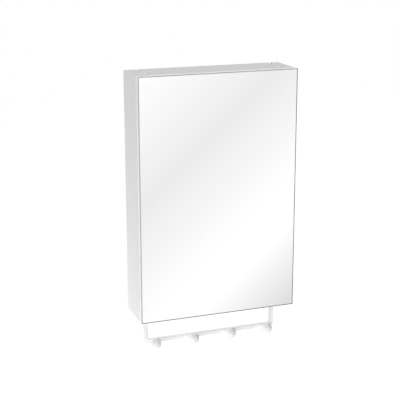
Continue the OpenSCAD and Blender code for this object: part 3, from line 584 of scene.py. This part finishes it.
class CABINET_OT_hook_rail(bpy.types.Operator):
    """Square tube bent to a U, its feet and the weld beads between them"""
    bl_idname = "cabinet.hook_rail"
    bl_label = "Hook rail"

    def execute(self, context):
        low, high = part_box("hook_rail")
        width, middle = high.y - low.y, (low.y + high.y) / 2
        left, right, under = low.x + width / 2, high.x - width / 2, low.z + width / 2
        tube = ShapeTree("Bent Square Tube", {"Width": 0.012, "Edge Radius": 0.0015, "Bend Radius": 0.008,
                                              "Bend Steps": 14})
        line = tube.put("GeometryNodeMeshToCurve", {"Mesh": tube.size["Points"]})
        bends = tube.put("GeometryNodeFilletCurve", {"Curve": line, "Radius": tube.size["Bend Radius"],
                                                     "Count": tube.size["Bend Steps"]}, mode="POLY")
        square = tube.put("GeometryNodeCurvePrimitiveQuadrilateral",
                          {"Width": tube.size["Width"], "Height": tube.size["Width"]})
        section = tube.put("GeometryNodeFilletCurve", {"Curve": square, "Radius": tube.size["Edge Radius"],
                                                       "Count": 5}, mode="POLY")
        tree = tube.close(tube.swept(bends, section), on_points=False)
        coat = grained_finish("White Powder Coat", colours().coat, 0.38, scale=650.0, relief=0.16, tone=0.015,
                              gloss=0.1, coat=0.25, coat_roughness=0.25)
        grow("rail_tube", tree,
             [((x, middle, z), UP) for x, z in ((left, high.z), (left, under), (right, under), (right, high.z))],
             {"Width": width, "Edge Radius": settings().tube_edge, "Bend Radius": settings().bend_radius},
             coat, "hook_rail", edges=[(0, 1), (1, 2), (2, 3)])
        self.feet(coat, middle, width)
        return {"FINISHED"}

    def feet(self, coat, middle, width):
        """Foot plates with eased edges, and a bead of weld round each upright."""
        work = bmesh.new()
        ease = 0.4 * MM
        for low, high in islands("rail_feet"):
            rounded_plate(work, low, high, (high.x - low.x) / 4, 8,
                          ((low.z, -ease), (low.z + 0.3 * ease, -0.3 * ease), (low.z + ease, 0.0), (high.z, 0.0)))
            self.bead(work, (low.x + high.x) / 2, middle, low.z, width / 2)
        mesh = settle(work, bpy.data.meshes.new("rail_foot_plates"), 40)
        show("rail_foot_plates", mesh, "cabinet", "rail_feet", (coat,))

    def bead(self, work, x, y, z, half):
        """Rippled weld bead in the corner between a foot and its upright, whose half width is given."""
        steps, ripples, ripple, size, sunk, corner = 72, 24, 0.12 * MM, 1.1 * MM, 0.4 * MM, 1.28
        rings = []
        for i in range(steps):
            a = math.tau * i / steps
            reach = half * min(corner, 1 / max(abs(math.cos(a)), abs(math.sin(a))))
            thick = size + ripple * math.sin(a * ripples)
            profile = ((-sunk, sunk), (thick, sunk), (0.75 * thick, -0.35 * thick), (0.35 * thick, -0.75 * thick),
                       (-sunk, -thick))
            rings.append([work.verts.new((x + (reach + out) * math.cos(a), y + (reach + out) * math.sin(a), z + up))
                          for out, up in profile])
        for a, b in zip(rings, rings[1:] + rings[:1]):
            for k in range(5):
                work.faces.new((a[k], b[k], b[(k + 1) % 5], a[(k + 1) % 5]))


class CABINET_OT_ball_hooks(bpy.types.Operator):
    """Glossy ball hooks, each on a turned stem"""
    bl_idname = "cabinet.ball_hooks"
    bl_label = "Ball hooks"

    def execute(self, context):
        ball = ShapeTree("Ball With Seat", {"Diameter": 0.032, "Seat Diameter": 0.0102, "Seat Depth": 0.002,
                                            "Segments": 64, "Rings": 40})
        radius = ball.times(ball.size["Diameter"], 0.5)
        seat = ball.times(ball.size["Seat Diameter"], 0.5)
        rear = ball.times(radius, -1.0)
        sphere = ball.put("GeometryNodeMeshUVSphere",
                          {"Segments": ball.size["Segments"], "Rings": ball.size["Rings"], "Radius": radius})
        bore = ball.cone(48, seat, seat, ball.less(rear, MM), ball.plus(rear, ball.size["Seat Depth"]))
        tree = ball.close(ball.cut(sphere, bore))
        gloss = grained_finish("Gloss White Balls", colours().gloss, 0.2, scale=260.0, relief=0.012, tone=0.01,
                               gloss=0.03, specular=0.2)
        stems = islands("hook_stems")
        stem_width = stems[0][1].x - stems[0][0].x
        for number in range(1, 5):
            node = "hook_ball_%d" % number
            low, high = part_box(node)
            width = high.x - low.x
            diameter = width - 0.02 * MM
            middle = centre(low, high, y=low.y + width / 2)
            stem_front = min(stems, key=lambda stem: abs(centre(*stem).x - middle.x))[0].y
            grow("ball_%d" % number, tree, [(middle, FRONT)],
                 {"Diameter": diameter, "Seat Diameter": stem_width + 0.2 * MM,
                  "Seat Depth": middle.y + diameter / 2 - stem_front, "Segments": settings().ball_segments},
                 gloss, node, crease=50)
        self.stems(stems)
        return {"FINISHED"}

    def stems(self, stems):
        """Stems with a small collar groove turned next to the bar."""
        stem = ShapeTree("Turned Stem", {"Diameter": 0.01, "Length": 0.0095, "Groove": 0.0003})
        radius = stem.times(stem.size["Diameter"], 0.5)
        neck = stem.less(radius, stem.size["Groove"])
        rows = ((radius, 0.0), (radius, 0.15), (neck, 0.17), (neck, 0.23), (radius, 0.25), (radius, 1.0))
        tree = stem.close(stem.turned([(across, stem.times(stem.size["Length"], share)) for across, share in rows],
                                      48))
        low, high = stems[0]
        grow("stems", tree, [(centre(a, b, y=b.y), FRONT) for a, b in stems],
             {"Diameter": high.x - low.x, "Length": high.y - low.y}, bpy.data.materials["White Powder Coat"],
             "hook_stems")


class CABINET_OT_top_plugs(bpy.types.Operator):
    """Domed plugs in the unused holes of the top panel"""
    bl_idname = "cabinet.top_plugs"
    bl_label = "Top plugs"

    def execute(self, context):
        plug = ShapeTree("Domed Plug", {"Head Diameter": 0.01, "Head Height": 0.0045, "Dome Height": 0.0015,
                                        "Shank Diameter": 0.0048, "Shank Length": 0.011})
        radius = plug.times(plug.size["Head Diameter"], 0.5)
        shank = plug.times(plug.size["Shank Diameter"], 0.5)
        wall = plug.less(plug.size["Head Height"], plug.size["Dome Height"])
        ribs, dome_steps = 5, 8
        rows = [(0.7, -1.0)]    # shares of the shank's radius and of its length
        for rib in range(ribs):
            start = -0.94 + 0.17 * rib
            rows += [(0.86, start), (1.0, start + 0.13), (0.88, start + 0.14)]
        rows = [(plug.times(shank, across), plug.times(plug.size["Shank Length"], along))
                for across, along in (*rows, (0.88, 0.0))]
        rows += [(radius, 0.0), (radius, wall)]
        for step in range(1, dome_steps + 1):
            a = math.radians(90 * step / dome_steps - 1)
            rows.append((plug.times(radius, math.cos(a)),
                         plug.plus(wall, plug.times(plug.size["Dome Height"], math.sin(a)))))
        tree = plug.close(plug.turned(rows, 48))
        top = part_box("top_panel")[1].z
        spots = islands("top_plugs")
        low, high = spots[0]
        gloss = grained_finish("Moulded White Plugs", (0.95, 0.95, 0.94), 0.26, scale=420.0, relief=0.02, tone=0.01,
                               coat=0.8)
        grow("plugs", tree, [(centre(a, b, z=top), UP) for a, b in spots],
             {"Head Diameter": high.x - low.x, "Head Height": high.z - top, "Shank Length": top - low.z},
             gloss, "top_plugs")
        return {"FINISHED"}


def screw_tree():
    """Pan-head wood screw with a cross recess and a real thread."""
    screw = ShapeTree("Pan Head Screw", {"Diameter": 0.003, "Length": 0.011, "Head Diameter": 0.006,
                                         "Head Height": 0.0016, "Pitch": 0.0011})
    length, height = screw.size["Length"], screw.size["Head Height"]
    radius = screw.times(screw.size["Diameter"], 0.5)
    head = screw.times(screw.size["Head Diameter"], 0.5)
    core, tip = screw.times(radius, 0.78), screw.times(radius, 0.2)
    rows = [(screw.times(head, share), screw.times(height, step))
            for share, step in ((0.5, -1.0), (0.7, -0.95), (0.85, -0.84), (0.95, -0.66), (1.0, -0.42), (1.0, 0.0))]
    rows += [(core, 0.0), (core, screw.less(length, radius)), (tip, length)]
    bar = screw.times(screw.size["Head Diameter"], 0.56)
    slot = screw.times(screw.size["Head Diameter"], 0.13)
    peak = screw.times(height, -1.0)
    body = screw.cut(screw.turned(rows, 36), screw.block(bar, slot, screw.times(height, 1.2), peak))
    body = screw.cut(body, screw.block(slot, bar, screw.times(height, 1.16), peak))
    threaded = screw.times(length, 0.8)
    turns = sums(screw.tree, "DIVIDE", threaded, screw.size["Pitch"])
    thread = screw.raised(screw.coil(turns, 14, core, threaded, 4, tip), screw.times(length, 0.1))
    return screw.close(screw.joined(body, thread))


class CABINET_OT_screws(bpy.types.Operator):
    """Threaded screws of the hinges, the latch, the rail and the hooks"""
    bl_idname = "cabinet.screws"
    bl_label = "Screws"

    def execute(self, context):
        tree = screw_tree()
        plated = grained_finish("Plated Screws", colours().nickel, 0.27, scale=1500.0, relief=0.015, tone=0.04,
                                metallic=1.0)
        least_pitch = 0.9 * MM
        # CAD node, piece, body, where the tip points, height of the head in mm, shank as a share of the head's width
        for node, name, body, direction, head_mm, shank_share in (
                ("hinge_plate_screws", "plate_screws", "cabinet", RIGHT, 1.6, 0.5),
                ("hinge_arm_screws", "arm_screws", "cabinet", RIGHT, 1.8, 1 / 1.8),
                ("latch_screws", "latch_housing_screws", "cabinet", LEFT, 1.6, 0.5),
                ("hinge_cup_screws", "cup_screws", "door", FRONT, 1.6, 0.5),
                ("strike_screws", "strike_plate_screws", "door", FRONT, 0.5, 0.5),
                ("rail_screws", "rail_foot_screws", "cabinet", UP, 2.16, 0.5),
                ("hook_screws", "hook_rail_screws", "cabinet", FRONT, 2.0, 0.5)):
            height, points = head_mm * MM, []
            for low, high in islands(node):
                size = high - low
                whole = abs(size.dot(direction))
                across = size.x if direction is UP else size.z
                points.append((centre(low, high) + direction * (height - whole / 2), direction))
            shank = across * shank_share
            grow(name, tree, points,
                 {"Diameter": shank, "Length": whole - height, "Head Diameter": across, "Head Height": height,
                  "Pitch": max(0.36 * shank, least_pitch)}, plated, node, body)
        return {"FINISHED"}


class CABINET_OT_hinges(bpy.types.Operator):
    """Nickel plating on the hinge plates, arms and cups, and ground steel pins"""
    bl_idname = "cabinet.hinges"
    bl_label = "Hinges"

    def execute(self, context):
        plate = grained_finish("Nickel Plate", colours().nickel, 0.24, scale=1200.0, relief=0.012, tone=0.03,
                               metallic=1.0, stretch=(1, 0.25, 1))
        pin = grained_finish("Ground Steel Pins", (0.55, 0.55, 0.56), 0.22, scale=2200.0, relief=0.03, tone=0.05,
                             metallic=1.0, stretch=(1, 1, 0.1))
        finish_nodes(plate, "hinge_plate_upper", "hinge_plate_lower", "hinge_arm_upper", "hinge_arm_lower",
                     "hinge_cup_upper", "hinge_cup_lower")
        finish_nodes(pin, "hinge_pins")
        return {"FINISHED"}


class CABINET_OT_latch(bpy.types.Operator):
    """Push latch: housing, plunger with its magnet tip, coil spring and strike plate"""
    bl_idname = "cabinet.latch"
    bl_label = "Push latch"

    def execute(self, context):
        nylon = grained_finish("Moulded White Nylon", (0.78, 0.78, 0.765), 0.45, scale=1100.0, relief=0.08)
        dark = grained_finish("Grey Nylon And Magnet", (0.24, 0.245, 0.25), 0.42, scale=1300.0, relief=0.08, tone=0.05)
        strike = grained_finish("Strike Plate Steel", colours().nickel, 0.27, scale=1400.0, relief=0.015, tone=0.04,
                                metallic=1.0, stretch=(1, 1, 0.2))
        steel = grained_finish("Spring Wire", (0.5, 0.5, 0.51), 0.25, scale=2000.0, relief=0.03, metallic=1.0)
        finish_nodes(nylon, "latch_housing")
        finish_nodes(dark, "latch_plunger")
        finish_nodes(strike, "latch_strike")
        spring = ShapeTree("Coil Spring", {"Wire": 0.0008, "Coil Diameter": 0.005, "Length": 0.01, "Turns": 6})
        wire = spring.size["Wire"]
        half = spring.times(wire, 0.5)
        reach = spring.times(spring.less(spring.size["Coil Diameter"], wire), 0.5)
        wound = spring.coil(spring.size["Turns"], 24, reach, spring.less(spring.size["Length"], wire), 8, half)
        tree = spring.close(spring.raised(wound, half))
        low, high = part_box("latch_spring")
        grow("spring", tree, [(centre(low, high, y=low.y), REAR)],
             {"Wire": 0.8 * MM, "Coil Diameter": high.x - low.x, "Length": high.y - low.y},
             steel, "latch_spring")
        return {"FINISHED"}


class CABINET_OT_fittings(bpy.types.Operator):
    """Shelf pins, fluted dowels, cam bolts, cam locks and door bumpers"""
    bl_idname = "cabinet.fittings"
    bl_label = "Carcass fittings"

    def execute(self, context):
        zinc = grained_finish("Zinc Casting", (0.42, 0.42, 0.43), 0.42, relief=0.12, tone=0.1, metallic=1.0)
        bolt = grained_finish("Bright Bolts", (0.55, 0.54, 0.52), 0.3, scale=1500.0, relief=0.04, metallic=1.0)
        pin = grained_finish("Nickel Shelf Pins", colours().nickel, 0.24, scale=1500.0, relief=0.03, tone=0.05,
                             metallic=1.0)
        finish_nodes(zinc, "cam_locks")
        finish_nodes(bolt, "cam_bolts")
        finish_nodes(pin, "shelf_pins")
        self.dowels()
        self.bumpers()
        return {"FINISHED"}

    def dowels(self):
        """Beech dowels with glue flutes and chamfered ends."""
        dowel = ShapeTree("Fluted Dowel", {"Diameter": 0.008, "Length": 0.03, "Flutes": 20, "Flute Depth": 0.0003})
        tree, chamfer = dowel.tree, 1.0 * MM
        rod = dowel.put("GeometryNodeMeshCylinder",
                        {"Vertices": 80, "Side Segments": 3, "Radius": dowel.times(dowel.size["Diameter"], 0.5),
                         "Depth": dowel.size["Length"]})
        x, y, z = add(tree, "ShaderNodeSeparateXYZ", {0: dowel.put("GeometryNodeInputPosition")}).outputs
        around = dowel.times(sums(tree, "ARCTAN2", y, x), dowel.size["Flutes"])
        wave = sums(tree, "MULTIPLY_ADD", sums(tree, "SINE", around), 0.5, -0.5)
        end = sums(tree, "GREATER_THAN", sums(tree, "ABSOLUTE", z), dowel.times(dowel.size["Length"], 0.49))
        shrink = dowel.less(dowel.times(wave, dowel.size["Flute Depth"]), dowel.times(end, chamfer))
        step = dowel.put("ShaderNodeVectorMath", {0: vectors(tree, "NORMALIZE", dowel.vector(x, y)), "Scale": shrink},
                         operation="SCALE")
        dowel.close(dowel.put("GeometryNodeSetPosition", {"Geometry": rod, "Offset": step}))
        beech = grained_finish("Beech", (0.55, 0.36, 0.19), 0.6, relief=0.2, tone=0.18, stretch=(0.08, 1, 1))
        spots = islands("dowels")
        low, high = spots[0]
        grow("fluted_dowels", tree, [(centre(a, b), RIGHT) for a, b in spots],
             {"Diameter": high.y - low.y, "Length": high.x - low.x}, beech, "dowels", crease=50)

    def bumpers(self):
        """Soft pads with a rounded face."""
        pad = ShapeTree("Door Bumper", {"Diameter": 0.008, "Thickness": 0.001})
        radius = pad.times(pad.size["Diameter"], 0.5)
        rows = ((1.0, 0.0), (1.0, 0.55), (0.97, 0.78), (0.9, 0.93), (0.8, 1.0))
        tree = pad.close(pad.turned([(pad.times(radius, across), pad.times(pad.size["Thickness"], share))
                                     for across, share in rows]))
        rubber = grained_finish("Clear Rubber", (0.78, 0.8, 0.8), 0.35, relief=0.03)
        feed(rubber.node_tree, principled(rubber), {"Subsurface Weight": 0.3, "Subsurface Scale": MM})
        spots = islands("door_bumpers")
        low, high = spots[0]
        grow("bumpers", tree, [(centre(a, b, y=b.y), FRONT) for a, b in spots],
             {"Diameter": high.x - low.x, "Thickness": high.y - low.y}, rubber, "door_bumpers")


class CABINET_OT_stage(bpy.types.Operator):
    """Pale floor, soft studio light and the camera"""
    bl_idname = "cabinet.stage"
    bl_label = "Stage and camera"

    def execute(self, context):
        self.floor()
        self.mirror_card()
        self.world()
        self.lamp()
        self.camera()
        context.scene.view_settings.view_transform = "Standard"
        return {"FINISHED"}

    def seen_rays(self, tree):
        """One for camera, mirror and glass rays, and nought for light that falls on the object."""
        rays = add(tree, "ShaderNodeLightPath").outputs
        seen = sums(tree, "MAXIMUM", rays["Is Camera Ray"], rays["Is Glossy Ray"])
        return sums(tree, "MAXIMUM", seen, rays["Is Transmission Ray"])

    def plane(self, name, finish, corners):
        """Stage piece with four corners, and the empty tree of its new material."""
        mesh = bpy.data.meshes.new(name)
        mesh.from_pydata(corners, [], [(0, 1, 2, 3)])
        piece = bpy.data.objects.new(name, mesh)
        bpy.context.scene.collection.objects.link(piece)
        material = bpy.data.materials.new(finish)
        material.use_nodes = True
        material.node_tree.nodes.clear()
        mesh.materials.append(material)
        return piece, material.node_tree

    def floor(self):
        """Pale floor that keeps the shadow. It is clear from below, so a low view still shows the object."""
        level, reach, shown = -1.5, 9.0, 0.83
        piece, tree = self.plane("floor", "Pale Floor", [(-reach, -reach, level), (reach, -reach, level),
                                                         (reach, reach, level), (-reach, reach, level)])
        mottle = noise(tree, here(tree), 3.0, 4.0)
        tone = mixed(tree, mottle, (0.34, 0.34, 0.34, 1), (0.36, 0.36, 0.36, 1))
        paint = first(tree, "ShaderNodeBsdfDiffuse", {"Color": tone})
        glow = first(tree, "ShaderNodeEmission",
                     {"Color": (1, 1, 1, 1), "Strength": sums(tree, "MULTIPLY", self.seen_rays(tree), shown)})
        above = first(tree, "ShaderNodeAddShader", {0: paint, 1: glow})
        below = first(tree, "ShaderNodeBsdfTransparent")
        side = add(tree, "ShaderNodeNewGeometry").outputs["Backfacing"]
        add(tree, "ShaderNodeOutputMaterial",
            {"Surface": first(tree, "ShaderNodeMixShader", {0: side, 1: above, 2: below})})
        piece.visible_diffuse = piece.visible_shadow = False

    def mirror_card(self):
        """Studio card beside the camera that only reflections see, with a soft diagonal sweep of light."""
        x, y, z = 0.5248, -1.5, -0.3867
        half_width, half_height, lean = 0.44, 0.64, 1.12
        piece, tree = self.plane("light_card", "Light Card",
                                 [(x + across * half_width, y, z + up * half_height)
                                  for across, up in ((-1, -1), (-1, 1), (1, 1), (1, -1))])
        place = add(tree, "ShaderNodeSeparateXYZ", {0: here(tree)}).outputs
        across = sums(tree, "SUBTRACT", place["X"], x)
        slant = sums(tree, "MULTIPLY_ADD", sums(tree, "SUBTRACT", place["Z"], z), -lean, across)
        ramp = add(tree, "ShaderNodeValToRGB", {"Fac": spread(tree, slant, -1.0, 1.0, 0.0, 1.0)})
        stops = ramp.color_ramp.elements
        sweep = ((0.0, 1.0), (0.33, 0.83), (0.64, 1.0), (0.765, 1.0), (0.98, 0.72))    # place and grey
        for number, (at, grey) in enumerate(sweep):
            stop = stops[number] if number < 2 else stops.new(at)
            stop.position, stop.color = at, (grey, grey, grey, 1)
        glow = first(tree, "ShaderNodeEmission", {"Color": ramp.outputs["Color"], "Strength": 1.02})
        add(tree, "ShaderNodeOutputMaterial", {"Surface": glow})
        piece.visible_camera = piece.visible_diffuse = piece.visible_shadow = piece.visible_transmission = False

    def world(self):
        """Soft light from a few directions, and plain white for what the camera, metal and glass see."""
        world = bpy.data.worlds.new("Studio")
        bpy.context.scene.world = world
        world.use_nodes = True
        tree = world.node_tree
        tree.nodes.clear()
        sky = add(tree, "ShaderNodeTexCoord").outputs["Generated"]
        white, warm, focus = (1, 1, 1), (1.03, 1, 0.95), 12.0
        light = (0.05, 0.05, 0.05)
        for direction, strength, colour in (
                ((-0.62, -0.72, 0.3), 4.3, white), ((0.12, -0.66, -0.74), 4.6, white), ((-0.1, 0.8, 0.6), 3.1, warm),
                ((0.85, 0.2, -0.5), 1.4, white), ((0.78, 0.3, 0.55), 1.4, white)):
            facing = add(tree, "ShaderNodeVectorMath", {0: sky, 1: Vector(direction).normalized()},
                         operation="DOT_PRODUCT").outputs["Value"]
            soft = sums(tree, "POWER", sums(tree, "MAXIMUM", facing, 0.0), focus)
            light = vectors(tree, "MULTIPLY_ADD", soft, strength * Vector(colour), light)
        shown = mixed(tree, self.seen_rays(tree), light, (1, 1, 1, 1))
        add(tree, "ShaderNodeOutputWorld",
            {"Surface": first(tree, "ShaderNodeBackground", {"Color": shown, "Strength": 1.0})})

    def lamp(self):
        """Round softbox at the lower left, for the side panel and the balls."""
        at, aim = Vector((-1.15, 0.25, -1.1)), Vector((-0.25, -0.06, -0.25))
        lamp = bpy.data.lights.new("low_left_softbox", "AREA")
        lamp.shape = "DISK"
        lamp.size = 0.7
        lamp.energy = 9.4
        holder = bpy.data.objects.new("low_left_softbox", lamp)
        holder.location = at
        holder.rotation_euler = (aim - at).to_track_quat("-Z", "Y").to_euler()
        holder.visible_glossy = False
        bpy.context.scene.collection.objects.link(holder)

    def camera(self):
        """Camera at the photograph's place and angle, as fitted to the cabinet's straight edges."""
        at, focal_mm = (-1.12571, -3.04804, 0.82952), 96.366
        azimuth, elevation, roll = (math.radians(a) for a in (-20.132, 15.1, -0.064))
        back = Vector((math.sin(azimuth) * math.cos(elevation), -math.cos(azimuth) * math.cos(elevation),
                       math.sin(elevation)))
        side = Vector((math.cos(azimuth), math.sin(azimuth), 0))
        up = back.cross(side)
        right = math.cos(roll) * side + math.sin(roll) * up
        top = -math.sin(roll) * side + math.cos(roll) * up
        lens = bpy.data.cameras.new("photo_camera")
        lens.sensor_width = 36.0
        lens.lens = focal_mm
        lens.clip_end = 100.0
        holder = bpy.data.objects.new("photo_camera", lens)
        holder.matrix_world = Matrix.Translation(at) @ Matrix((right, top, back)).transposed().to_4x4()
        bpy.context.scene.collection.objects.link(holder)
        bpy.context.scene.camera = holder


PIECES = (CABINET_OT_boards, CABINET_OT_mirror, CABINET_OT_shelves, CABINET_OT_hook_rail, CABINET_OT_ball_hooks,
          CABINET_OT_top_plugs, CABINET_OT_screws, CABINET_OT_hinges, CABINET_OT_latch, CABINET_OT_fittings,
          CABINET_OT_stage)


class CABINET_PT_panel(bpy.types.Panel):
    """Lists the pieces and their settings"""
    bl_idname = "CABINET_PT_panel"
    bl_label = "Mirror Cabinet"
    bl_space_type = "VIEW_3D"
    bl_region_type = "UI"
    bl_category = "Cabinet"

    def draw(self, context):
        for operator in PIECES:
            self.layout.operator(operator.bl_idname)
        for group in (settings(), colours()):
            box = self.layout.box()
            for name in group.bl_rna.properties.keys():
                if name not in ("rna_type", "name"):
                    box.prop(group, name)


CLASSES = (CabinetSizes, CabinetColours, *PIECES, CABINET_PT_panel)


def register():
    for entry in CLASSES:
        bpy.utils.register_class(entry)
    setattr(bpy.types.Scene, SETTINGS, PointerProperty(type=CabinetSizes))
    setattr(bpy.types.Scene, COLOURS, PointerProperty(type=CabinetColours))


def unregister():
    delattr(bpy.types.Scene, COLOURS)
    delattr(bpy.types.Scene, SETTINGS)
    for entry in reversed(CLASSES):
        bpy.utils.unregister_class(entry)


def main():
    register()
    for operator in PIECES:
        group, name = operator.bl_idname.split(".")
        getattr(getattr(bpy.ops, group), name)()


if __name__ == "__main__":
    main()
